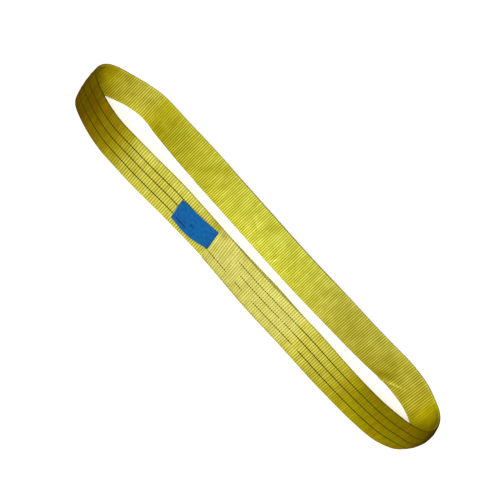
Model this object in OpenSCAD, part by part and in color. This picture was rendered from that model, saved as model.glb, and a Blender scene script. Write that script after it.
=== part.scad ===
// Endless flat webbing sling, standing on its lower edge.
// One length of woven band goes once round the loop and laps over itself on the front strand,
// where rows of stitching join the two plies. A leaf label is caught under the end of the lap.
// +X runs along the loop, -Y is the side that the label is on, and +Z is up.
// The origin is below the middle of the sling, at the height of its lower edge.

/* [Webbing] */
// Width of the band, which stands upright
band_w = 90; // [80:5:120]
// Thickness of one ply
ply_t = 5; // [3:0.5:7]
// Length of the whole loop as it stands
loop_l = 916; // [760:4:1400]
// Distance between the middles of the two strands
loop_w = 140; // [130:2:160]

/* [End bends] */
// Radius of the round nose of each end bend
nose_r = 46; // [38:1:54]
// Radius of the wide shoulders that lead from a strand into the nose
shoulder_r = 200; // [160:10:260]
// Gap between an end bend and the far strand, which moves by itself
strand_gap = 0.4; // [0.3:0.1:1]

/* [Splice] */
// Length over which the two plies lie on each other
lap_l = 238; // [150:2:300]
// Middle of the lap along the loop
lap_x = 43; // [0:1:60]
// Length over which the webbing swings in, on the label's side, to pass under the lap
swing_l = 110; // [60:5:120]
// Width of one row of stitches
row_w = 1.3; // [0.8:0.1:1.6]
// How far the sewing thread stands out of the webbing
thread_t = 0.5; // [0.3:0.1:0.8]
// Distance from a cut end of the webbing to the ends of the long rows
row_inset = 16; // [16:1:24]
// Number of cross rows that lock the lap's cut end, besides the one that holds the label
tack_rows = 6; // [1:1:8]
// Distance between cross rows
tack_pitch = 10.5; // [8:0.5:14]
// Width of a cross row
tack_w = 1.8; // [1:0.1:2.5]
// Distance from a cut end to the first cross row
seam_inset = 3; // [2:0.5:5]

/* [Load stripes] */
// Height of the lowest stripe as a share of the band's width
stripe_low = 0.28; // [0.26:0.01:0.3]
// Height of the middle stripe
stripe_mid = 0.52; // [0.51:0.01:0.53]
// Height of the highest stripe
stripe_high = 0.75; // [0.73:0.01:0.77]
// Width of a stripe
stripe_w = 1.4; // [0.8:0.1:1.4]
// How far the yarns of a stripe stand out of the webbing
stripe_t = 0.3; // [0.2:0.1:0.5]

/* [Label] */
// Length of the free leaf
leaf_l = 90; // [60:1:110]
// Width of the leaf
leaf_w = 52; // [30:1:56]
// Thickness of the leaf
leaf_t = 0.9; // [0.6:0.1:1.2]
// Slope of the leaf's long edges, because it and the lap's cut end are a little askew
leaf_slope = 7.2; // [0:0.2:8]
// Height of the middle of the leaf's sewn end
leaf_z = 53; // [46:1:54]
// Clearance between the leaf and the webbing that it lies on
leaf_gap = 0.3; // [0.2:0.1:0.5]
// Length of the tongue that is caught under the lap
tongue_l = 16; // [10:1:20]

/* [Hidden] */

SHOULDER_STEPS = 8;              // flats in which a shoulder turns
NOSE_STEPS = 20;                 // flats in which a nose turns
ROWS = 11;                       // long rows of stitches in the lap, one node each

half_w = loop_w / 2;
lap_from = lap_x - lap_l / 2;    // cut end of the outer ply, at the label
lap_to = lap_x + lap_l / 2;      // cut end of the under ply
nose_x = loop_l / 2 - stripe_t - ply_t / 2 - nose_r;
// the nose and a shoulder meet where their common normal leans by this angle
meet_a = asin((shoulder_r - half_w) / (shoulder_r - nose_r));
straight_x = nose_x - (shoulder_r - nose_r) * cos(meet_a);
// sewing thread stands out further in front than a stripe does behind, so all moves back a little
shift_y = (thread_t - stripe_t) / 2;
face_y = ply_t / 2 - half_w;     // outer face of the under ply, which the label lies on
stripe_z = [for (share = [stripe_low, stripe_mid, stripe_high]) share * band_w];
// three rows of stitches run between one stripe and the next
row_pitch = (stripe_high - stripe_low) * band_w / 6;
function row_z(i) = stripe_mid * band_w + row_pitch * (i - (ROWS + 2) / 2);

webbing_colour = [0.83, 0.80, 0.12];
stripe_colour = [0.16, 0.14, 0.05];
thread_colour = [0.88, 0.83, 0.62];
label_colour = [0.09, 0.40, 0.72];

// Plan line of the under ply and of the outer ply: [x, how far it lies outside the strand's line]
swing_x = lap_from - leaf_l - 5;
under_line = [[-straight_x, 0], [swing_x - swing_l, 0], [swing_x, -ply_t], [lap_to, -ply_t]];
outer_line = [[lap_from - band_w / 4, 0], [straight_x, 0]];

// A wall along a plan line of the front strand, from depth near to depth far outside that line
module front_wall(line, near, far, z, h) {
    last = len(line) - 1;
    outside = [for (p = line) [p[0], -half_w - p[1] - far]];
    inside = [for (i = [last:-1:0]) [line[i][0], -half_w - line[i][1] - near]];
    translate([0, shift_y, z])
        linear_extrude(h)
            polygon(concat(outside, inside));
}

// Points along an arc, in equal steps, numbered from one step to another
function arc_points(centre, r, from_a, to_a, steps, first, last) =
    [for (i = [first:last])
        let (a = from_a + (to_a - from_a) * i / steps)
        centre + r * [cos(a), sin(a)]];

// Plan line of the right end bend, this far outside the band's middle: a shoulder, the nose
// and the other shoulder, from the front strand round to the far one
function bend_line(out) = concat(
    arc_points([straight_x, shoulder_r - half_w], shoulder_r + out, -90, -meet_a,
               SHOULDER_STEPS, 0, SHOULDER_STEPS - 1),
    arc_points([nose_x, 0], nose_r + out, -meet_a, meet_a, NOSE_STEPS, 0, NOSE_STEPS),
    arc_points([straight_x, half_w - shoulder_r], shoulder_r + out, meet_a, 90,
               SHOULDER_STEPS, 1, SHOULDER_STEPS)
);

// The wall of an end bend. The left one is the right one's mirror image.
module bend_wall(side, near, far, z, h) {
    inside = bend_line(near);
    last = len(inside) - 1;
    translate([0, shift_y, z])
        mirror([side < 0 ? 1 : 0, 0, 0])
            linear_extrude(h)
                polygon(concat(bend_line(far), [for (i = [last:-1:0]) inside[i]]));
}

// A straight wall on the far strand
module far_wall(near, far, z, h) {
    reach = straight_x - strand_gap;
    translate([-reach, shift_y + half_w + near, z])
        cube([2 * reach, far - near, h]);
}

// Places things in the slanted frame of the lap's cut end: +X along the lap, away from the
// label, and the origin on the face that the label lies on, at the middle of its sewn end
module at_lap_end() {
    translate([lap_from, shift_y + face_y, leaf_z])
        rotate([0, -leaf_slope, 0])
            children();
}

// Everything on the label's side of the cut end
module bare_side() {
    at_lap_end()
        translate([-loop_l, -loop_w, -loop_w])
            cube([loop_l, 2 * loop_w, 2 * loop_w]);
}

// A plate of the label's width, from one distance along the lap to another, and between two
// depths outside the face that it lies on
module label_plate(from_x, to_x, near, far) {
    at_lap_end()
        translate([from_x, -far, -leaf_w / 2])
            cube([to_x - from_x, far - near, leaf_w]);
}

module webbing_front_left_run() {
    color(webbing_colour)
        front_wall(under_line, -ply_t / 2, ply_t / 2, 0, band_w);
}

module webbing_front_right_run() {
    color(webbing_colour)
        difference() {
            front_wall(outer_line, -ply_t / 2, ply_t / 2, 0, band_w);
            bare_side();
            label_plate(-1, tongue_l, -1, leaf_t);
        }
}

module webbing_bend(side) {
    color(webbing_colour)
        bend_wall(side, -ply_t / 2, ply_t / 2, 0, band_w);
}

module webbing_far_strand() {
    color(webbing_colour)
        far_wall(-ply_t / 2, ply_t / 2, 0, band_w);
}

// One load stripe of black warp yarns on the outer face, over both bends and the front strand
module stripe(i) {
    z = stripe_z[i] - stripe_w / 2;
    near = ply_t / 2;
    far = ply_t / 2 + stripe_t;
    color(stripe_colour) {
        bend_wall(-1, near, far, z, stripe_w);
        bend_wall(1, near, far, z, stripe_w);
        intersection() {
            front_wall(under_line, near, far, z, stripe_w);
            difference() {
                bare_side();
                label_plate(-leaf_l - leaf_gap, 0, -1, leaf_t + leaf_gap + 1);
            }
        }
        difference() {
            front_wall(outer_line, near, far, z, stripe_w);
            bare_side();
        }
    }
}

module far_stripe(i) {
    color(stripe_colour)
        far_wall(ply_t / 2, ply_t / 2 + stripe_t, stripe_z[i] - stripe_w / 2, stripe_w);
}

// Sewing thread on both faces of the lap, over a stretch of its length and height
module thread_pair(from_x, to_x, z, h) {
    line = [[from_x, 0], [to_x, 0]];
    front_wall(line, ply_t / 2, ply_t / 2 + thread_t, z, h);
    front_wall(line, -ply_t * 1.5 - thread_t, -ply_t * 1.5, z, h);
}

// One row of lockstitch along the lap: needle thread outside, bobbin thread inside
module stitch_row(i) {
    color(thread_colour)
        thread_pair(lap_from + row_inset, lap_to - row_inset, row_z(i) - row_w / 2, row_w);
}

// A slab along the whole front strand at one height, for cutting
module slab(z, h) {
    translate([-loop_l / 2, -loop_w, z - h / 2])
        cube([loop_l, loop_w, h]);
}

// Takes out what would lie on the yarns of the load stripes or on the long rows of stitches
module clear_of_yarns() {
    difference() {
        children();
        for (z = stripe_z)
            slab(z, stripe_w);
        for (i = [1:ROWS])
            slab(row_z(i), row_w);
    }
}

// A cross row of stitches on both faces of the lap, parallel to its slanted cut end
module end_row(inset) {
    color(thread_colour)
        clear_of_yarns()
            translate([inset, 0, 0])
                at_lap_end()
                    for (y = [-ply_t - thread_t, ply_t])
                        translate([0, y, row_z(1) - leaf_z])
                            cube([tack_w, thread_t, row_z(ROWS) - row_z(1)]);
}

// The cross rows that lock the lap's cut end
module lap_end_tack() {
    for (i = [1:tack_rows])
        end_row(seam_inset + i * tack_pitch);
}

// The cross row nearest the cut end, which also holds the label's tongue
module label_seam() {
    end_row(seam_inset);
}

// The cross row that locks the under ply's cut end, which is square to the band
module under_end_tack() {
    color(thread_colour)
        clear_of_yarns()
            thread_pair(lap_to - seam_inset - tack_w, lap_to - seam_inset,
                        row_z(1), row_z(ROWS) - row_z(1));
}

// The sewn end of the label, between the two plies
module label_tongue() {
    color(label_colour)
        label_plate(0, tongue_l, 0, leaf_t);
}

// The free leaf, which lifts about its sewn end
module label_leaf() {
    color(label_colour)
        label_plate(-leaf_l, -leaf_t, leaf_gap, leaf_gap + leaf_t);
}

webbing_front_left_run();
webbing_front_right_run();
webbing_bend(-1);  // webbing_left_bend
webbing_bend(1);  // webbing_right_bend
webbing_far_strand();
stripe(0);  // stripe_lower
stripe(1);  // stripe_middle
stripe(2);  // stripe_upper
far_stripe(0);  // far_stripe_lower
far_stripe(1);  // far_stripe_middle
far_stripe(2);  // far_stripe_upper
stitch_row(1);  // stitch_row_01
stitch_row(2);  // stitch_row_02
stitch_row(3);  // stitch_row_03
stitch_row(4);  // stitch_row_04
stitch_row(5);  // stitch_row_05
stitch_row(6);  // stitch_row_06
stitch_row(7);  // stitch_row_07
stitch_row(8);  // stitch_row_08
stitch_row(9);  // stitch_row_09
stitch_row(10);  // stitch_row_10
stitch_row(11);  // stitch_row_11
lap_end_tack();
under_end_tack();
label_tongue();
label_leaf();
label_seam();
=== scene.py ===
import math

import bpy
import numpy as np
from mathutils import Matrix, Vector


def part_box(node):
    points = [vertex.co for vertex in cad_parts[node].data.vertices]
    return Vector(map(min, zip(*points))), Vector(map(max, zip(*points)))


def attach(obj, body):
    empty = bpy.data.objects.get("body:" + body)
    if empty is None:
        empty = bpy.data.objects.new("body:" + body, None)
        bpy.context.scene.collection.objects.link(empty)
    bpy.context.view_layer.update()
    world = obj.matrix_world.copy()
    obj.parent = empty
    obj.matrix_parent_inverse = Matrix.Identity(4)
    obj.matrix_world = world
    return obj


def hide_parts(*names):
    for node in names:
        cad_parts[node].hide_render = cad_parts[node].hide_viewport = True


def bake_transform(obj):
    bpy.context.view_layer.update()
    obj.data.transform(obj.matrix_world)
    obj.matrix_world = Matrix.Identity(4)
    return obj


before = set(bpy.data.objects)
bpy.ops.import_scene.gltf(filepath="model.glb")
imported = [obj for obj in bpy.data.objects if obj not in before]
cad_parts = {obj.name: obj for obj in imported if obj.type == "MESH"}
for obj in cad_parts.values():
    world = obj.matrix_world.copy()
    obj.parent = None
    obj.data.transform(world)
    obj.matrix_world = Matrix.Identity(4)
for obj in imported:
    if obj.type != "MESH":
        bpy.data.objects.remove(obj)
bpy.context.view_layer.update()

# Shapes are worked out in millimetres and turned into metres when a mesh is made.
# A place on the band is (t, z, depth). t runs along the band in plan, from the middle of the
# labelled strand towards -X and on round the loop. z is the height, and depth is measured
# outwards from the middle of the ply. The band begins at the under ply's cut end, where t is
# negative, and ends at the lap's cut end, where t is more than one whole turn.
MM = 0.001


def node_box(name):
    """Lowest and highest corner of a CAD node, in millimetres."""
    low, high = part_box(name)
    return np.array(low) / MM, np.array(high) / MM


FAR_LOW, FAR_HIGH = node_box("webbing_far_strand")
BEND_LOW, BEND_HIGH = node_box("webbing_left_bend")
UNDER_HIGH = node_box("webbing_front_left_run")[1]
EXTRA_W = 1.6                   # a guess: the band looks a little wider than its CAD width
BAND_W = FAR_HIGH[2] - FAR_LOW[2] + EXTRA_W
PLY = FAR_HIGH[1] - FAR_LOW[1]
MID_Y = (BEND_LOW[1] + BEND_HIGH[1]) / 2
HALF_W = (FAR_LOW[1] + FAR_HIGH[1]) / 2 - MID_Y
STRAIGHT_X = -BEND_HIGH[0]
NOSE_R = 46.0
SHOULDER_R = 200.0
NOSE_X = -BEND_LOW[0] - PLY / 2 - NOSE_R
LAP_TO = UNDER_HIGH[0]          # the under ply's cut end
LAP_FROM = -76.0                # the lap's cut end, at the label
SWING_FROM, SWING_L = 171.0, 110.0
CUT_LEAN = math.tan(math.radians(7.2))
LEAF_Z = 53.0

# ribs, which are the weft lines of the weave
RIB_DEPTH = 0.95
RIB_STEPS = 6
SELVEDGE = 2.4
SCALLOP = 0.45
RIB_PITCH = [(-170, 4.7), (100, 4.75), (180, 4.93), (340, 4.93), (640, 4.5), (1300, 4.5),
             (1620, 4.85), (1790, 4.75), (2040, 4.7)]
UNEVEN, UNEVEN_SEWN = 0.035, 0.07   # how uneven the pitch is, and how much more in the lap
# how far the top of a rib runs ahead of its foot, as a share of the height
RIB_LEAD = [(-170, 0.0), (-120, 0.05), (60, 0.05), (120, 0.02), (320, 0.02), (520, 0.03),
            (760, 0.045), (880, 0.03), (970, 0.0), (1100, -0.035), (1250, -0.035),
            (1450, 0.0), (1640, 0.02), (1730, 0.045), (1900, 0.05), (1945, 0.06),
            (1970, 0.08), (1990, 0.11), (2024, CUT_LEAN)]

# how far the band's lower and upper edges lie outside the CAD line, at places round the loop
LOW_SWAY = [(0, -2.8), (40, -3.6), (90, -4.4), (150, -2.6), (200, -0.7), (260, -0.6),
            (330, -1.4), (400, -1.2), (450, 1.8), (500, 4.0), (545, 5.5), (585, 12.0),
            (620, 14.4), (645, 10.0), (700, 4.1), (780, -0.9), (860, -2.7), (940, -5.0),
            (1060, -6.8), (1160, -4.4), (1240, -1.2), (1290, 3.0), (1340, 9.8),
            (1395, 15.4), (1440, 8.0), (1480, -0.4), (1540, -0.8), (1590, -4.4),
            (1640, -2.4), (1700, -0.2), (1800, -1.4), (1880, -0.8)]
HIGH_SWAY = [(0, 0.6), (60, 1.0), (120, -1.2), (230, -2.8), (320, -0.5), (370, 2.0),
             (420, 4.2), (465, 6.5), (490, 2.0), (520, -6.5), (545, -8.8), (585, -6.6),
             (620, -2.2), (700, -0.7), (760, 0.3), (840, -1.9), (940, -4.6), (1060, -6.9),
             (1120, -5.5), (1260, -3.9), (1320, -0.4), (1380, 3.9), (1410, 2.8),
             (1440, 4.5), (1475, 5.0), (1520, 2.9), (1560, -2.0), (1600, -3.4),
             (1650, -1.7), (1700, -2.2), (1740, -3.9), (1765, -4.3), (1777, -4.2),
             (1790, -3.8), (1810, -3.0), (1870, -1.3)]
# where the noses of the end bends bulge at half their height: (place, half length, bulge)
BELLIES = [(490, 75, 3.5), (1458, 70, 11.5)]
LAP_LIFT = 4.5                  # how much higher the lap sits askew at its cut end
LAP_LIFT_FROM, LAP_LIFT_L = -50, 130
# the under ply's cut end is pressed thin, and trimmed a little low near its top
PRESSED_SHARE, PRESSED_L = 0.6, 14
TRIM, TRIM_L = 4.6, 110
TRIM_FROM_Z, TRIM_RISE = 50, 40
SEWN_FADE = 25                  # over this length the sewn stretch begins
FLATTENED = 0.55                # the share of a rib's depth that wear takes

STRIPE_SHARES = {"stripe_lower": 0.28, "stripe_middle": 0.52, "stripe_upper": 0.75}
# where the stitching hides a stripe in the lap: (middle, half length), along X
HIDDEN_STRETCHES = {"woven_stripe_upper": [(-46, 30)],
                    "woven_stripe_middle": [(-35, 38), (118, 3)],
                    "woven_stripe_lower": [(-8, 12), (40, 14), (170, 8)]}
YARN_W = 1.2
YARN_PROUD = 0.02               # how far a yarn or thread is kept off the face under it
YARN_HALF_T = 0.3
SUNK_BY, HIDDEN_BY = 0.6, 0.8   # how deep a stripe lies between the ribs, and out of sight
YARN_REPEAT = 2.1               # the width of a pair of warp yarns in the cloth
TUBE_SIDES = 6                  # sides of a yarn or thread

ROWS = 11
ROW_PITCH = (0.75 - 0.28) * BAND_W / 6
ROW_MID = 0.52 * BAND_W - ROW_PITCH / 2
ROW_LOW = ROW_MID - ROW_PITCH * (ROWS - 1) / 2
ROW_HIGH = ROW_MID + ROW_PITCH * (ROWS - 1) / 2
ROW_INSET = 16.0
STITCH_L = 5.6
THREAD_R = 0.42
TACK_ROWS = 6
TACK_PITCH = 10.5
SEAM_INSET = 3.0

LEAF_L, LEAF_W, LEAF_T, TONGUE_L = 91.5, 52.0, 0.4, 16.0
ARCH_TOP, ARCH_LOW = 2.2, 7.0   # how far the leaf arches off the webbing
TIP_LIFT = 0.9
RIPPLE = 0.35
# generic printed bars: (ink, from and to along the leaf, from and to across it)
PRINT_BARS = [(0.85, 8, 34, 8, 12.5), (0.6, 8, 32, 16, 17.8)]
PRINT_BOXES = [(0.7, 40, 44, 20, 26), (0.6, 46, 49, 19, 25), (0.55, 38, 43, 34, 36),
               (0.5, 52, 55, 9, 14)]
PRINT_LINES, PRINT_LINE_PITCH = 5, 5


# ---------------------------------------------------------------- curves and meshes

def ease(x):
    """Smooth step from 0 to 1."""
    x = np.clip(x, 0, 1)
    return x * x * (3 - 2 * x)


def curve_through(knots, period=None):
    """A smooth function through (place, value) knots."""
    places = np.array([k[0] for k in knots], float)
    values = np.array([k[1] for k in knots], float)
    if period:
        places = np.concatenate([places[-2:] - period, places, places[:2] + period])
        values = np.concatenate([values[-2:], values, values[:2]])
    slopes = np.gradient(values, places)

    def at(x):
        x = np.asarray(x, float)
        if period:
            x = np.mod(x, period)
        i = np.clip(np.searchsorted(places, x) - 1, 0, len(places) - 2)
        gap = places[i + 1] - places[i]
        s = np.clip((x - places[i]) / gap, 0, 1)
        return ((2 * s ** 3 - 3 * s ** 2 + 1) * values[i]
                + (s ** 3 - 2 * s ** 2 + s) * gap * slopes[i]
                + (3 * s ** 2 - 2 * s ** 3) * values[i + 1]
                + (s ** 3 - s ** 2) * gap * slopes[i + 1])
    return at


def value_at(knots, x):
    """The value at x, in straight lines through (place, value) knots."""
    return np.interp(x, *np.array(knots, float).T)


def make_piece(name, points, faces, attributes=None, smooth=True):
    """A mesh object from points in millimetres, with per-point attributes for its material."""
    mesh = bpy.data.meshes.new(name)
    mesh.from_pydata((points * MM).tolist(), [], faces)
    for key, values in (attributes or {}).items():
        layer = mesh.attributes.new(key, "FLOAT", "POINT")
        layer.data.foreach_set("value", np.asarray(values, np.float32))
    mesh.polygons.foreach_set("use_smooth", [smooth] * len(mesh.polygons))
    mesh.validate()
    mesh.update()
    if "along" in mesh.attributes and "across" in mesh.attributes:
        corners = np.empty(len(mesh.loops), np.int32)
        mesh.loops.foreach_get("vertex_index", corners)
        flat = np.stack([attributes["along"], attributes["across"]], 1)[corners] * MM
        mesh.uv_layers.new(name="cloth").data.foreach_set("uv", flat.ravel().astype(np.float32))
    piece = bpy.data.objects.new(name, mesh)
    bpy.context.scene.collection.objects.link(piece)
    return piece


# ---------------------------------------------------------------- the band's line

def arc(centre, radius, start, end):
    """Points along an arc, about a millimetre apart, without its last one."""
    count = int(abs(end - start) * radius) + 1
    angles = np.linspace(start, end, count, endpoint=False)
    return np.array(centre) + radius * np.stack([np.cos(angles), np.sin(angles)], 1)


def run(x_from, x_to, y):
    """Points along a straight strand, about a millimetre apart, without its last one."""
    x = np.linspace(x_from, x_to, int(abs(x_to - x_from)) + 1, endpoint=False)
    return np.stack([x, np.full_like(x, y)], 1)


def loop_line():
    """The plan line of the loop for one turn: its distances, points and outward normals."""
    meet = math.asin((SHOULDER_R - HALF_W) / (SHOULDER_R - NOSE_R))
    quarter = math.pi / 2
    bend = np.concatenate([
        arc((STRAIGHT_X, SHOULDER_R - HALF_W), SHOULDER_R, -quarter, -meet),
        arc((NOSE_X, 0), NOSE_R, -meet, meet),
        arc((STRAIGHT_X, HALF_W - SHOULDER_R), SHOULDER_R, meet, quarter)])
    points = np.concatenate([
        run(0, -STRAIGHT_X, -HALF_W), bend * (-1, 1), run(-STRAIGHT_X, STRAIGHT_X, HALF_W),
        bend[::-1], run(STRAIGHT_X, 0, -HALF_W), [[0, -HALF_W]]])
    steps = np.hypot(*np.diff(points, axis=0).T)
    fresh = np.concatenate([[True], steps > 0.01])
    distances = np.concatenate([[0], np.cumsum(steps)])[fresh]
    points = points[fresh]
    along = np.gradient(points, distances, axis=0)
    along /= np.hypot(*along.T)[:, None]
    return distances, points + (0, MID_Y), np.stack([-along[:, 1], along[:, 0]], 1)


LINE_T, LINE_P, LINE_N = loop_line()
TURN = LINE_T[-1]
T_START = -LAP_TO
T_END = TURN - LAP_FROM + (BAND_W / 2 - LEAF_Z) * CUT_LEAN

low_sway = curve_through(LOW_SWAY, TURN)
high_sway = curve_through(HIGH_SWAY, TURN)
rib_lead = curve_through(RIB_LEAD)
rib_pitch = curve_through(RIB_PITCH)

FINE_T = np.arange(T_START, T_END + 0.5, 0.5)


def uneven_pitch(t):
    """Rib pitch with the small unevenness of the weave, larger where the lap is sewn."""
    sewn = ease((t - TURN + 60) / 60)
    wave = np.sin(t / 3.1) * np.sin(t / 17.3 + 1) + 0.6 * np.sin(t / 11.7 + 2)
    return rib_pitch(t) * (1 + (UNEVEN + UNEVEN_SEWN * sewn) * wave)


FINE_RIBS = np.concatenate([[0], np.cumsum(0.5 / uneven_pitch(FINE_T[:-1] + 0.25))])


def rib_at(t, z):
    """The rib number at a place on the band: whole numbers are the valleys between ribs."""
    return np.interp(t - rib_lead(t) * (z - BAND_W / 2), FINE_T, FINE_RIBS)


def crown(rib):
    """How high a rib stands, from 0 in a valley to 1 on its crown."""
    return np.abs(np.sin(math.pi * rib)) ** 0.75


# how bright the cloth is: even on the labelled strand and the lap, darker round the noses, partly
# soil from hooks and partly painted shade where they turn from the light, and paler on the far
# strand with a
# painted sheen. Round values: (place, lower edge, upper edge)
OUTER_TONE_AND_SHADE = [(0, 0.33, 0.37), (280, 0.30, 0.32), (350, 0.15, 0.15), (430, 0.07, 0.08),
              (540, 0.10, 0.10), (700, 0.35, 0.35), (1250, 0.35, 0.35), (1440, 0.12, 0.03),
              (1520, 0.16, 0.10), (1620, 0.21, 0.12), (1700, 0.25, 0.29), (1780, 0.31, 0.35),
              (2024, 0.31, 0.35)]
INNER_TONE_AND_SHADE = [(0, 0.33, 0.33), (330, 0.30, 0.30), (440, 0.08, 0.08), (500, 0.25, 0.35),
              (600, 0.38, 0.45), (680, 0.23, 0.36), (820, 0.36, 0.43), (940, 0.44, 0.46),
              (1080, 0.38, 0.43), (1200, 0.27, 0.34), (1320, 0.23, 0.37), (1410, 0.38, 0.42),
              (1470, 0.30, 0.40), (1520, 0.14, 0.12), (1700, 0.30, 0.30), (1944, 0.33, 0.33)]

# dents and creases of the far strand: (t, z, length, height, slope, depth outwards)
DENTS = [(786, 40, 14, 50, 0.4, 1.0), (924, 50, 5, 12, -1.3, -0.8),
         (997, 16, 3, 20, 0.47, -0.8), (1333, 17, 5, 15, 1.39, -3.0), (1308, 18, 10, 18, 0.6, 1.2),
         (645, 14, 8, 18, 0.5, 1.2)]

# darker and paler patches, in the same way: painted shade where dents, creases and waves turn from
# the light and painted highlights where they face it, painted shade on the outer face of the right
# nose, and darker strips at the lap's lower edge and along the top near the label: (..., share by
# which the tone changes)
INNER_PATCHES = [(1333, 18, 3.5, 12, 1.39, 0.8), (1308, 18, 11, 16, 0.6, -0.3),
                 (1361, 15, 8, 9, 0.0, -0.2), (788, 50, 13, 40, 0.8, -0.18),
                 (924, 50, 4, 9, -1.3, 0.25), (951, 69, 10, 16, 0.3, -0.15),
                 (998, 72, 6, 12, 0.0, -0.15), (994, 26, 4, 9, 0.0, -0.15),
                 (998, 14, 2.5, 15, 0.47, 0.25), (655, 16, 14, 16, 0.5, -0.2),
                 (841, 45, 3, 26, 0.0, 0.12)]
OUTER_PATCHES = [(264, 60, 6, 14, 0.3, -0.15), (272, 34, 6, 12, 0.3, -0.1),
                 (1466, 62, 15, 34, 0.0, -0.75), (1900, 1, 150, 5, 0.0, -0.3),
                 (92, 87, 26, 9, 0.0, -0.35), (2012, 85, 8, 9, 0.0, -0.35)]
# how much painted shade darkens the selvedges, which changes round the loop: (place, share)
RIM_SHADE = [(-200, 0.1), (-110, 0.4), (0, 0.35), (200, 0.3), (330, 0.4), (400, 0.35),
             (560, 0.3), (640, 0.3), (800, 0.4), (860, 0.65), (1100, 0.65), (1160, 0.35),
             (1300, 0.35), (1400, 0.4), (1430, 0.5), (1540, 0.3), (1640, 0.3), (1800, 0.25),
             (1830, 0.4), (2024, 0.4)]
# where the ribs are pressed flat and stained: (place, share)
OUTER_WEAR = [(0, 0), (300, 0), (345, 0.7), (400, 1), (560, 1), (700, 0), (1300, 0),
              (1420, 1), (1560, 1), (1640, 0.7), (1720, 0)]
INNER_WEAR = [(0, 0), (330, 0), (400, 1), (500, 1), (545, 0), (625, 0), (645, 0.5),
              (680, 0.2), (700, 0), (1285, 0), (1307, 0.3), (1325, 0), (1392, 0),
              (1418, 1), (1560, 1), (1700, 0)]
# how much of the light reaches the inner face, by which its colour takes the painted hue of shade:
# (place, share)
INNER_LIGHT = [(440, 1), (460, 0.72), (480, 0.6), (500, 0.45), (520, 0.52), (540, 0.6),
               (580, 0.66), (620, 0.7), (700, 0.87), (1260, 0.9), (1340, 0.8), (1380, 0.62),
               (1400, 0.52), (1420, 0.42), (1440, 0.3), (1480, 0.4), (1500, 0.86), (1540, 1)]
# where the inner face is fresher and less faded: (place, share)
FRESHNESS = [(610, 0), (650, 1), (1050, 1), (1160, 0)]


def tone_at(knots, t, z):
    """Tone of the cloth, between the values given for its lower and its upper edge."""
    places, low, high = np.array(knots, float).T
    share = z / BAND_W
    return np.interp(t, places, low) * (1 - share) + np.interp(t, places, high) * share


def spots(places, t, z):
    """The sum of soft oval spots at (place, height, length, tall, slope, amount)."""
    total = np.zeros(np.broadcast(t, z).shape)
    for place, height, length, tall, slope, amount in places:
        across = (t - place - slope * (z - height)) / length
        up = (z - height) / tall
        total = total + amount * np.exp(-across ** 2 - up ** 2)
    return total


def on_band(t, z, depth):
    """Points in millimetres at places on the band."""
    t, z, depth = np.broadcast_arrays(np.asarray(t, float), z, depth)
    turn_t = np.mod(t, TURN)
    share = z / BAND_W
    sway = low_sway(t) * (1 - share) + high_sway(t) * share + spots(DENTS, turn_t, z)
    for place, reach, bulge in BELLIES:
        near = np.clip(1 - ((turn_t - place) / reach) ** 2, 0, 1)
        sway = sway + 4 * bulge * near ** 2 * share * (1 - share)
    inset = PLY * (1 - ease((t - SWING_FROM) / SWING_L))
    out = sway - inset + depth
    x, y = (np.interp(turn_t, LINE_T, LINE_P[:, k]) + out * np.interp(turn_t, LINE_T, LINE_N[:, k])
            for k in (0, 1))
    lift = LAP_LIFT * ease((t - TURN - LAP_LIFT_FROM) / LAP_LIFT_L)
    return np.stack([x, y, z + lift], -1)


# ---------------------------------------------------------------- webbing

def valley_depth(wear, height):
    """How far the face lies below a rib's crown. Wear presses the ribs flat."""
    return RIB_DEPTH * (1 - FLATTENED * wear) * (1 - height)


def cross_section():
    """Heights and half thicknesses, as shares, from the lower selvedge to the upper one."""
    rim = np.array([0, 0.12, 0.42, 0.95, 1.65, SELVEDGE])
    inner = np.linspace(SELVEDGE, BAND_W - SELVEDGE, 21)[1:-1]
    z = np.concatenate([rim, inner, BAND_W - rim[::-1]])
    near = np.minimum(z, BAND_W - z) / SELVEDGE
    half = np.sqrt(np.clip(1 - (1 - np.clip(near, 0, 1)) ** 2.2, 0, 1))
    return z, half


def grid_faces(rings, around, closed):
    """Quads between rings of points, each ring having the same number of points."""
    index = np.arange(rings * around).reshape(rings, around)
    if closed:
        index = np.concatenate([index, index[:, :1]], 1)
    a, b = index[:-1, :-1], index[:-1, 1:]
    c, d = index[1:, 1:], index[1:, :-1]
    return np.stack([a, d, c, b], -1).reshape(-1, 4).tolist()


def cut_end_faces(rings, around, steps):
    """Faces that close the webbing's first and last ring, in steps across its width."""
    faces = []
    for ring, turn in ((0, 1), (rings - 1, -1)):
        at = ring * around
        for k in range(steps):
            quad = [at + k, at + k + 1, at + (-k - 1) % around, at + (-k) % around]
            quad = list(dict.fromkeys(quad))
            faces.append(quad[::turn])
    return faces


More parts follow.
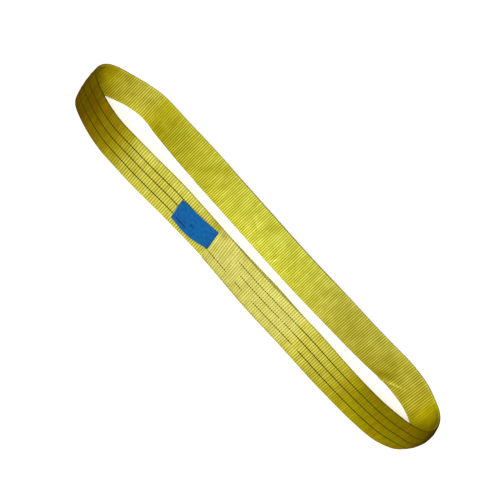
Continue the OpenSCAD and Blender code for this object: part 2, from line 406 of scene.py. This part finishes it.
def make_webbing():
    """The whole woven band, from the under ply's cut end once round to the lap's cut end."""
    count = int(FINE_RIBS[-1] * RIB_STEPS)
    ribs = np.arange(count + 1) / RIB_STEPS
    t_mid = np.interp(ribs, FINE_RIBS, FINE_T)[:, None]
    z, half = cross_section()
    # once round the section: up the outer face and down the inner one
    z_ring = np.concatenate([z, z[-2:0:-1]])[None]
    side = np.concatenate([half, -half[-2:0:-1]])[None]
    t = t_mid + rib_lead(t_mid) * (z_ring - BAND_W / 2)
    turn_t = np.mod(t, TURN)
    lap_t = np.where(t > TURN, t, turn_t)
    outer = np.clip(side + 0.5, 0, 1)
    wear = value_at(OUTER_WEAR, turn_t) * outer + value_at(INNER_WEAR, turn_t) * (1 - outer)
    height = crown(ribs)[:, None]
    depth = side * (PLY / 2 - valley_depth(wear, height))
    pressed = PRESSED_SHARE * PLY * (1 - ease((t - T_START) / PRESSED_L))
    depth = depth + np.where(depth < 0, pressed * np.abs(side), 0)
    pull = SCALLOP * (1 - height) * (1 - np.abs(side)) * np.sign(BAND_W / 2 - z_ring)
    trim = (TRIM * (1 - ease((t - T_START) / TRIM_L))
            * ease((z_ring - TRIM_FROM_Z) / TRIM_RISE))
    points = on_band(t, z_ring + pull - trim, depth)
    rings, around = points.shape[:2]
    faces = grid_faces(rings, around, True) + cut_end_faces(rings, around, len(z) - 1)
    shape = (rings, around)
    # the tone holds painted shade and a painted sheen as well as the cloth's own tone and soil
    inner_tone_and_shade = (tone_at(INNER_TONE_AND_SHADE, turn_t, z_ring)
                  * (1 + spots(INNER_PATCHES, turn_t, z_ring)))
    outer_tone_and_shade = (tone_at(OUTER_TONE_AND_SHADE, lap_t, z_ring)
                  * (1 + spots(OUTER_PATCHES, lap_t, z_ring)))
    rim = ease((1 - np.abs(side)) / 0.4) * value_at(RIM_SHADE, lap_t)
    inner_light = value_at(INNER_LIGHT, turn_t)
    attributes = {
        "tone": (outer_tone_and_shade * outer + inner_tone_and_shade * (1 - outer)).ravel(),
        "wear": wear.ravel(),
        "fresh": (value_at(FRESHNESS, turn_t) * (1 - outer)).ravel(),
        "sewn": (ease((t - TURN + LAP_TO) / SEWN_FADE) * outer).ravel(),
        "light": (outer + inner_light * (1 - outer)).ravel(),
        "stain": (wear * (turn_t < TURN / 2)).ravel(),
        "scorch": (wear * outer).ravel(),
        "rim": rim.ravel(),
        "rib": np.broadcast_to(ribs[:, None], shape).ravel(),
        "crown": np.broadcast_to(height, shape).ravel(),
        "across": np.broadcast_to(z_ring, shape).ravel(),
        "along": t.ravel(),
    }
    return make_piece("webbing", points.reshape(-1, 3), faces, attributes)


# ---------------------------------------------------------------- load stripes

def sunk_share(name, t):
    """How far the stitching draws a stripe into the ribs of the lap: 0 on top of them, 1 showing
    only between them, 2 out of sight."""
    x = TURN - t
    in_lap = ease((LAP_TO - x) / 20) * 0.45
    for middle, reach in HIDDEN_STRETCHES[name]:
        in_lap = in_lap + 1.25 * ease((reach + 4 - np.abs(x - middle)) / 8)
    return in_lap


def tube_caps(start, rings):
    """The two end faces of a tube whose points begin at start."""
    last = start + (rings - 1) * TUBE_SIDES
    return [list(range(start, start + TUBE_SIDES)),
            list(range(last + TUBE_SIDES - 1, last - 1, -1))]


def make_stripe(name, share):
    """A pair of black warp yarns that run over the ribs of the outer face."""
    rings_t = np.interp(np.arange(int(FINE_RIBS[-1] * RIB_STEPS)) / RIB_STEPS, FINE_RIBS, FINE_T)
    rings_t = rings_t[rings_t > -LAP_FROM - 2][:, None]
    z_mid = share * BAND_W
    angles = np.linspace(0, 2 * math.pi, TUBE_SIDES, endpoint=False)[None]
    points, faces, attributes = [], [], {"crown": [], "along": []}
    for k in (-0.5, 0.5):
        z = z_mid + k * YARN_W + YARN_W / 2 * np.cos(angles)
        t = rings_t + rib_lead(rings_t) * (z_mid - BAND_W / 2) + 0 * angles
        height = crown(rib_at(t, z_mid))
        wear = value_at(OUTER_WEAR, np.mod(t, TURN))
        over = PLY / 2 - valley_depth(wear, height) + YARN_PROUD
        sunk = sunk_share(name, rings_t)
        depth = over + (PLY / 2 - SUNK_BY - over) * np.minimum(sunk, 1)
        depth = depth - HIDDEN_BY * np.maximum(sunk - 1, 0)
        depth = depth + YARN_HALF_T * np.sin(angles)
        start = sum(len(p) for p in points)
        points.append(on_band(t, z, depth).reshape(-1, 3))
        rings = len(rings_t)
        faces += [[start + i for i in f] for f in grid_faces(rings, TUBE_SIDES, True)]
        faces += tube_caps(start, rings)
        attributes["crown"].append(height.ravel())
        attributes["along"].append(t.ravel())
    attributes = {key: np.concatenate(v) for key, v in attributes.items()}
    return make_piece(name, np.concatenate(points), faces, attributes)


# ---------------------------------------------------------------- stitching

def stitch_tubes(spans, outer):
    """Points and faces of separate stitches on one face of the lap. A span is the pair of
    places (t, z) of its two needle holes, on the outer ply."""
    # along each stitch: its share of the way, its height over the cloth and its thickness
    s = np.array([0, 0.1, 0.28, 0.5, 0.72, 0.9, 1])
    rise = np.array([-1.3, -0.4, -0.02, 0.04, -0.02, -0.4, -1.3])
    swell = np.array([0.55, 0.95, 1.05, 1.1, 1.05, 0.95, 0.55])
    angles = np.linspace(0, 2 * math.pi, TUBE_SIDES, endpoint=False)
    spans = np.asarray(spans, float)
    a, b = spans[:, 0], spans[:, 1]
    mid = a[:, None] + (b - a)[:, None] * s[None, :, None]
    along = (b - a) / np.linalg.norm(b - a, axis=1)[:, None]
    cross = np.stack([-along[:, 1], along[:, 0]], 1)
    reach = THREAD_R * swell[None, :, None] * np.cos(angles)
    t = mid[:, :, None, 0] + cross[:, None, None, 0] * reach
    z = mid[:, :, None, 1] + cross[:, None, None, 1] * reach
    depth = PLY / 2 + YARN_PROUD + rise[None, :, None] + 0.8 * THREAD_R * np.sin(angles)
    depth = np.broadcast_to(depth, t.shape)
    points = on_band(t if outer else t - TURN, z, depth if outer else -depth)
    count = len(spans)
    rings = len(s)
    single = np.array(grid_faces(rings, TUBE_SIDES, True))
    faces = []
    for k in range(count):
        base = k * rings * TUBE_SIDES
        faces += (single + base).tolist()
        faces += tube_caps(base, rings)
    return points.reshape(-1, 3), faces


def make_stitches(name, spans):
    """A row or rows of lockstitch, needle thread outside and bobbin thread inside."""
    points, faces = stitch_tubes(spans, True)
    inner_points, inner_faces = stitch_tubes(spans, False)
    faces += [[i + len(points) for i in f[::-1]] for f in inner_faces]
    return make_piece(name, np.concatenate([points, inner_points]), faces)


def row_spans(number):
    """The stitches of one long row, with the small unevenness of machine sewing."""
    chance = np.random.default_rng(number)
    z = ROW_LOW + ROW_PITCH * (number - 1)
    t_from = TURN - LAP_TO + ROW_INSET + chance.uniform(-5, 5)
    t_to = TURN - LAP_FROM - ROW_INSET + chance.uniform(-3, 3)
    count = round((t_to - t_from) / STITCH_L)
    t = np.linspace(t_from, t_to, count + 1) + chance.uniform(-0.35, 0.35, count + 1)
    height = z + 0.35 * np.sin(t / 23 + number) + chance.uniform(-0.15, 0.15, count + 1)
    return [((t[k] + 0.25, height[k]), (t[k + 1] - 0.25, height[k + 1])) for k in range(count)]


def cross_spans(inset, lean, end_t, seed):
    """The stitches of a cross row, at a distance from a cut end of the webbing."""
    chance = np.random.default_rng(seed)
    count = round((ROW_HIGH - ROW_LOW) / STITCH_L)
    z = np.linspace(ROW_LOW, ROW_HIGH, count + 1)
    t = end_t + lean * (z - BAND_W / 2) + inset + chance.uniform(-0.2, 0.2, count + 1)
    return [((t[k], z[k] + 0.25), (t[k + 1], z[k + 1] - 0.25)) for k in range(count)]


def make_all_stitches():
    made = []
    for number in range(1, ROWS + 1):
        name = f"stitch_row_{number:02d}"
        made.append(make_stitches("sewn_" + name, row_spans(number)))
        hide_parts(name)
    locks = []
    for number in range(1, TACK_ROWS + 1):
        inset = -SEAM_INSET - number * TACK_PITCH
        locks += cross_spans(inset, CUT_LEAN, T_END, 100 + number)
    made.append(make_stitches("sewn_lap_end_tack", locks))
    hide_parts("lap_end_tack")
    made.append(make_stitches("sewn_label_seam", cross_spans(-SEAM_INSET, CUT_LEAN, T_END, 120)))
    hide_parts("label_seam")
    made.append(make_stitches("sewn_under_end_tack",
                              cross_spans(SEAM_INSET, 0, TURN - LAP_TO, 140)))
    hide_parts("under_end_tack")
    for piece in made:
        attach(piece, "sling")
    return made


# ---------------------------------------------------------------- label

def label_lift(a, b):
    """How far the label stands off the webbing, at a along it and b across it."""
    out = np.clip(-a / LEAF_L, 0, 1)
    low = 0.5 - b / LEAF_W
    arch = (ARCH_TOP + ARCH_LOW * low ** 1.3) * np.sin(math.pi * out) ** 1.2
    tip = TIP_LIFT * ease((out - 0.8) / 0.2)
    ripple = RIPPLE * np.sin(b / 9 + out * 3) * out
    return (arch + tip + ripple) * ease(out * 8)


def label_print(a, b):
    """Generic printed rules and boxes, from 0 to 1."""
    x, y = a + LEAF_L, b + LEAF_W / 2
    lines = []
    for k in range(PRINT_LINES):
        low = 22 + PRINT_LINE_PITCH * k
        lines.append((0.35, 9, 27 + 3 * (k % 2), low, low + 1))
    ink = np.zeros(x.shape)
    for amount, x0, x1, y0, y1 in PRINT_BARS + lines + PRINT_BOXES:
        ink += amount * ((x > x0) & (x < x1) & (y > y0) & (y < y1))
    return np.clip(ink, 0, 1)


def make_label():
    """The leaf and the tongue that is caught under the lap: one thin coated sheet."""
    a = np.linspace(-LEAF_L, TONGUE_L, 213)
    b = np.linspace(-LEAF_W / 2, LEAF_W / 2, 105)
    a, b = np.meshgrid(a, b, indexing="ij")
    slope = math.atan(CUT_LEAN)
    x = LAP_FROM + a * math.cos(slope) - b * math.sin(slope)
    z = LEAF_Z + a * math.sin(slope) + b * math.cos(slope)
    base = PLY / 2 + 0.15 + label_lift(a, b)
    layers = [on_band(-x, z, base + LEAF_T), on_band(-x, z, base)]
    rows, columns = a.shape
    top = grid_faces(rows, columns, False)
    size = rows * columns
    faces = top + [[i + size for i in f[::-1]] for f in top]
    index = np.arange(size).reshape(rows, columns)
    rim = np.concatenate([index[:-1, 0], index[-1, :-1], index[:0:-1, -1], index[0, :0:-1]])
    after = np.roll(rim, -1)
    faces += [[int(p), int(p + size), int(q + size), int(q)] for p, q in zip(rim, after)]
    points = np.concatenate([layer.reshape(-1, 3) for layer in layers])
    ink = label_print(a, b).ravel()
    attributes = {"ink": np.concatenate([ink, 0 * ink]),
                  "u": np.tile(a.ravel(), 2), "v": np.tile(b.ravel(), 2)}
    label = make_piece("label", points, faces, attributes)
    hinge = Vector(on_band(-LAP_FROM, LEAF_Z, PLY / 2) * MM)
    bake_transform(label)
    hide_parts("label_leaf", "label_tongue")
    return label


# ---------------------------------------------------------------- materials

def new_material(name):
    material = bpy.data.materials.new(name)
    material.use_nodes = True
    tree = material.node_tree
    return material, tree, tree.nodes["Principled BSDF"]


def add(tree, kind, **values):
    """A node with some of its properties and input values set."""
    node = tree.nodes.new(kind)
    for key, value in values.items():
        if key in node.inputs:
            node.inputs[key].default_value = value
        else:
            setattr(node, key, value)
    return node


def attribute(tree, name):
    return add(tree, "ShaderNodeAttribute", attribute_name=name).outputs["Fac"]


def math_node(tree, operation, *inputs):
    node = add(tree, "ShaderNodeMath", operation=operation)
    for k, value in enumerate(inputs):
        if isinstance(value, (int, float)):
            node.inputs[k].default_value = value
        else:
            tree.links.new(value, node.inputs[k])
    return node.outputs[0]


def mix_colour(tree, factor, first, second, blend="MIX"):
    node = add(tree, "ShaderNodeMix", data_type="RGBA", blend_type=blend)
    for socket, value in ((node.inputs[0], factor), (node.inputs[6], first),
                          (node.inputs[7], second)):
        if isinstance(value, (int, float)):
            socket.default_value = value
        elif isinstance(value, tuple):
            socket.default_value = (*value, 1)
        else:
            tree.links.new(value, socket)
    return node.outputs[2]


def map_range(tree, value, low, high, to_low=0.0, to_high=1.0):
    node = add(tree, "ShaderNodeMapRange")
    tree.links.new(value, node.inputs[0])
    for k, number in enumerate((low, high, to_low, to_high)):
        node.inputs[k + 1].default_value = number
    return node.outputs[0]


def noise(tree, vector, scale, detail=3.0):
    node = add(tree, "ShaderNodeTexNoise", Scale=scale, Detail=detail)
    tree.links.new(vector, node.inputs["Vector"])
    return node.outputs[0]


def combine(tree, *parts):
    node = add(tree, "ShaderNodeCombineXYZ")
    for k, value in enumerate(parts):
        if isinstance(value, (int, float)):
            node.inputs[k].default_value = value
        else:
            tree.links.new(value, node.inputs[k])
    return node.outputs[0]


def bump(tree, height, strength, distance):
    node = add(tree, "ShaderNodeBump", Strength=strength, Distance=distance)
    tree.links.new(height, node.inputs["Height"])
    return node.outputs[0]


# how the cloth's colour goes with its tone, from dark to pale: the dark end takes soil and painted
# shade, the pale end painted highlights
CLOTH_COLOURS = [(0.0, (0.0, 0.0, 0.0)), (0.0875, (0.0875, 0.058, 0.001)),
                 (0.14, (0.14, 0.110, 0.002)), (0.20, (0.20, 0.166, 0.004)),
                 (0.30, (0.30, 0.272, 0.026)), (0.375, (0.375, 0.350, 0.049)),
                 (0.42, (0.42, 0.402, 0.080)), (0.54, (0.54, 0.538, 0.180)),
                 (0.68, (0.68, 0.68, 0.35))]


def colour_ramp(tree, value, stops):
    node = add(tree, "ShaderNodeValToRGB")
    ramp = node.color_ramp
    while len(ramp.elements) < len(stops):
        ramp.elements.new(0.5)
    for element, (place, colour) in zip(ramp.elements, stops):
        element.position = place
        element.color = (*colour, 1)
    tree.links.new(value, node.inputs[0])
    return node.outputs[0]


def multiply(tree, *values):
    total = values[0]
    for value in values[1:]:
        total = math_node(tree, "MULTIPLY", total, value)
    return total


def warp_yarns(tree, rib, across):
    """Columns along the band, which trade places from one rib to the next."""
    shift = multiply(tree, math_node(tree, "FLOOR", rib), math.pi)
    column = math_node(tree, "ADD", multiply(tree, across, 2 * math.pi / YARN_REPEAT), shift)
    return math_node(tree, "ABSOLUTE", math_node(tree, "SINE", multiply(tree, column, 0.5)))


def soil(tree, body, wear, along, across):
    """The cloth's colour with the hues of worn, stained, scorched and fresh stretches."""
    body = mix_colour(tree, multiply(tree, wear, 0.95), body, (1.0, 1.03, 0.07), "MULTIPLY")
    body = mix_colour(tree, attribute(tree, "stain"), body, (1.0, 0.93, 1.0), "MULTIPLY")
    scorch = noise(tree, combine(tree, multiply(tree, along, 0.022),
                                 multiply(tree, across, 0.05), 11.0), 1.0, 2.0)
    scorch = multiply(tree, attribute(tree, "scorch"),
                      map_range(tree, scorch, 0.5, 0.68, 0.0, 1.0))
    body = mix_colour(tree, scorch, body, (1.04, 0.86, 1.0), "MULTIPLY")
    return mix_colour(tree, attribute(tree, "fresh"), body, (0.985, 1.015, 0.55), "MULTIPLY")


def webbing_material():
    material, tree, shader = new_material("ribbed_yellow_webbing")
    rib, high = attribute(tree, "rib"), attribute(tree, "crown")
    across, along = attribute(tree, "across"), attribute(tree, "along")
    yarn = warp_yarns(tree, rib, across)
    fuzz = noise(tree, combine(tree, multiply(tree, along, 0.6), across, 0.0), 2.0, 2.0)
    blotch = noise(tree, combine(tree, multiply(tree, along, 0.02),
                                 multiply(tree, across, 0.03), 3.0), 1.0, 3.0)
    rib_tone = noise(tree, combine(tree, math_node(tree, "FLOOR", rib),
                                   multiply(tree, across, 0.03), 7.0), 0.9, 1.0)
    wear, sewn = attribute(tree, "wear"), attribute(tree, "sewn")
    # painted highlight on the rib crowns and painted shade in their valleys, less where wear presses
    # the ribs flat
    rib_highlight_and_shade = math_node(tree, "SUBTRACT", map_range(tree, high, 0.0, 0.95, 0.42, 1.34), 1.0)
    rib_highlight_and_shade = multiply(tree, rib_highlight_and_shade, map_range(tree, wear, 0.0, 1.0, 1.0, 0.15))
    grain = multiply(tree, map_range(tree, fuzz, 0.3, 0.7, -1.0, 1.0),
                     map_range(tree, sewn, 0.0, 1.0, 0.08, 0.2))
    # the hue follows the tone at large and only a little the ribs: a painted highlight pales the
    # crowns, and the light share gives the hue of shade where less light reaches
    light = attribute(tree, "light")
    half = math_node(tree, "ADD", multiply(tree, rib_highlight_and_shade, 0.4), 1.0)
    level = multiply(tree, attribute(tree, "tone"), half, light,
                     map_range(tree, blotch, 0.3, 0.7, 0.92, 1.08),
                     map_range(tree, rib_tone, 0.3, 0.7, 0.9, 1.1))
    body = colour_ramp(tree, level, CLOTH_COLOURS)
    # painted shade of the ribs and the selvedges, with the yarn columns and the grain of the cloth
    shade = multiply(tree, math_node(tree, "ADD", rib_highlight_and_shade, 1.0),
                     math_node(tree, "ADD", grain, 1.0),
                     map_range(tree, yarn, 0.0, 0.5, 0.9, 1.0),
                     map_range(tree, attribute(tree, "rim"), 0.0, 1.0, 1.0, 0.0))
    shade = math_node(tree, "DIVIDE", shade, multiply(tree, half, light))
    body = mix_colour(tree, 1.0, body, shade, "MULTIPLY")
    body = soil(tree, body, wear, along, across)
    body = mix_colour(tree, multiply(tree, sewn, 0.08), body, (0.62, 0.58, 0.34))
    tree.links.new(body, shader.inputs["Base Color"])
    shader.inputs["Roughness"].default_value = 0.7
    tree.links.new(map_range(tree, wear, 0.0, 1.0, 0.04, 0.0),
                   shader.inputs["Specular IOR Level"])
    relief = math_node(tree, "ADD", multiply(tree, yarn, 0.7), multiply(tree, fuzz, 0.3))
    tree.links.new(bump(tree, relief, 0.25, 0.0005), shader.inputs["Normal"])
    return material


def stripe_material():
    material, tree, shader = new_material("black_stripe_yarn")
    high, along = attribute(tree, "crown"), attribute(tree, "along")
    twist = math_node(tree, "SINE", math_node(tree, "MULTIPLY", along, 5.0))
    # the yarn is paler on the rib crowns and darker between them: a painted highlight and painted
    # shade
    tone = mix_colour(tree, map_range(tree, high, 0.3, 1.0), (0.018, 0.013, 0.001),
                      (0.060, 0.046, 0.002))
    tree.links.new(tone, shader.inputs["Base Color"])
    shader.inputs["Roughness"].default_value = 0.8
    shader.inputs["Specular IOR Level"].default_value = 0.0
    tree.links.new(bump(tree, twist, 0.4, 0.0002), shader.inputs["Normal"])
    return material


def thread_material():
    material, tree, shader = new_material("splice_thread")
    place = add(tree, "ShaderNodeTexCoord").outputs["Object"]
    tone = noise(tree, place, 900.0, 2.0)
    colour = mix_colour(tree, map_range(tree, tone, 0.35, 0.65), (0.42, 0.385, 0.10),
                        (0.56, 0.52, 0.20))
    tree.links.new(colour, shader.inputs["Base Color"])
    shader.inputs["Roughness"].default_value = 0.6
    shader.inputs["Specular IOR Level"].default_value = 0.2
    tree.links.new(bump(tree, tone, 0.4, 0.0002), shader.inputs["Normal"])
    return material


def label_material():
    material, tree, shader = new_material("blue_label")
    u, v, ink = attribute(tree, "u"), attribute(tree, "v"), attribute(tree, "ink")
    weave = math_node(tree, "MULTIPLY", math_node(tree, "SINE", math_node(tree, "MULTIPLY", u, 9.0)),
                      math_node(tree, "SINE", math_node(tree, "MULTIPLY", v, 9.0)))
    tone = noise(tree, combine(tree, u, v, 0.0), 0.12, 3.0)
    colour = mix_colour(tree, map_range(tree, tone, 0.35, 0.65), (0.0005, 0.053, 0.168),
                        (0.001, 0.074, 0.219))
    colour = mix_colour(tree, ink, colour, (0.001, 0.015, 0.06))
    tree.links.new(colour, shader.inputs["Base Color"])
    shader.inputs["Roughness"].default_value = 0.7
    shader.inputs["Specular IOR Level"].default_value = 0.08
    tree.links.new(bump(tree, weave, 0.3, 0.0001), shader.inputs["Normal"])
    return material


def stage_material():
    material, tree, shader = new_material("pale_floor")
    shader.inputs["Base Color"].default_value = (0.93, 0.935, 0.96, 1)
    shader.inputs["Roughness"].default_value = 0.9
    shader.inputs["Specular IOR Level"].default_value = 0.1
    return material


# ---------------------------------------------------------------- camera, floor and light

ELEVATION = math.radians(42)
ROLL = math.radians(46.95)
YAW = math.radians(-0.49)
DISTANCE = 2.525
LOOK_AT = Vector((-0.01855, 0.05035, 0.0008))
LENS, SENSOR_W = 93.6, 36
# the key stands so far off that it lights the whole floor evenly
KEY_AWAY, KEY_SIZE, KEY_POWER = 16.0, 9.0, 4700
KEY_SHIFT = Vector((0.4, 0, 1.2))
SKY_STRENGTH = 0.2
FLOOR_HALF = 8.0


def camera_axes():
    """The camera's right, up and backward directions."""
    forward = Vector((math.cos(ELEVATION) * math.sin(YAW), math.cos(ELEVATION) * math.cos(YAW),
                      -math.sin(ELEVATION)))
    level = Vector((math.cos(YAW), -math.sin(YAW), 0))
    upright = Vector((math.sin(ELEVATION) * math.sin(YAW), math.sin(ELEVATION) * math.cos(YAW),
                      math.cos(ELEVATION)))
    right = math.cos(ROLL) * level + math.sin(ROLL) * upright
    up = -math.sin(ROLL) * level + math.cos(ROLL) * upright
    return right, up, -forward


def make_camera():
    right, up, back = camera_axes()
    data = bpy.data.cameras.new("camera")
    data.lens = LENS
    data.sensor_width = SENSOR_W
    data.clip_end = 20
    camera = bpy.data.objects.new("camera", data)
    turn = Matrix((right, up, back)).transposed().to_4x4()
    camera.matrix_world = Matrix.Translation(LOOK_AT + DISTANCE * back) @ turn
    bpy.context.scene.collection.objects.link(camera)
    bpy.context.scene.camera = camera


def area_light(name, place, size, power):
    """A round white lamp that points at the origin."""
    data = bpy.data.lights.new(name, "AREA")
    data.shape = "DISK"
    data.size = size
    data.energy = power
    light = bpy.data.objects.new(name, data)
    light.location = place
    light.rotation_euler = (-Vector(place)).to_track_quat("-Z", "Y").to_euler()
    bpy.context.scene.collection.objects.link(light)


def make_stage():
    corners = FLOOR_HALF * np.array([(-1, -1, 0), (1, -1, 0), (1, 1, 0), (-1, 1, 0)])
    floor = make_piece("floor", corners / MM, [[0, 1, 2, 3]], smooth=False)
    floor.data.materials.append(stage_material())
    area_light("key", camera_axes()[2] * KEY_AWAY + KEY_SHIFT, KEY_SIZE, KEY_POWER)
    world = bpy.data.worlds.new("studio")
    world.use_nodes = True
    world.node_tree.nodes["Background"].inputs["Color"].default_value = (1, 1, 1, 1)
    world.node_tree.nodes["Background"].inputs["Strength"].default_value = SKY_STRENGTH
    bpy.context.scene.world = world
    bpy.context.scene.view_settings.view_transform = "Standard"


# ---------------------------------------------------------------- the object

def follow_squeeze(piece):
    """Bakes the piece's transform into its mesh."""
    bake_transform(piece)


def build():
    webbing = make_webbing()
    webbing.data.materials.append(webbing_material())
    follow_squeeze(webbing)
    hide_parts("webbing_front_left_run", "webbing_front_right_run",
                "webbing_left_bend", "webbing_right_bend", "webbing_far_strand")
    dark = stripe_material()
    for name, share in STRIPE_SHARES.items():
        stripe = make_stripe("woven_" + name, share)
        stripe.data.materials.append(dark)
        follow_squeeze(stripe)
        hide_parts(name, "far_" + name)
    thread = thread_material()
    for piece in make_all_stitches():
        piece.data.materials.append(thread)
    label = make_label()
    label.data.materials.append(label_material())


make_camera()
make_stage()
build()
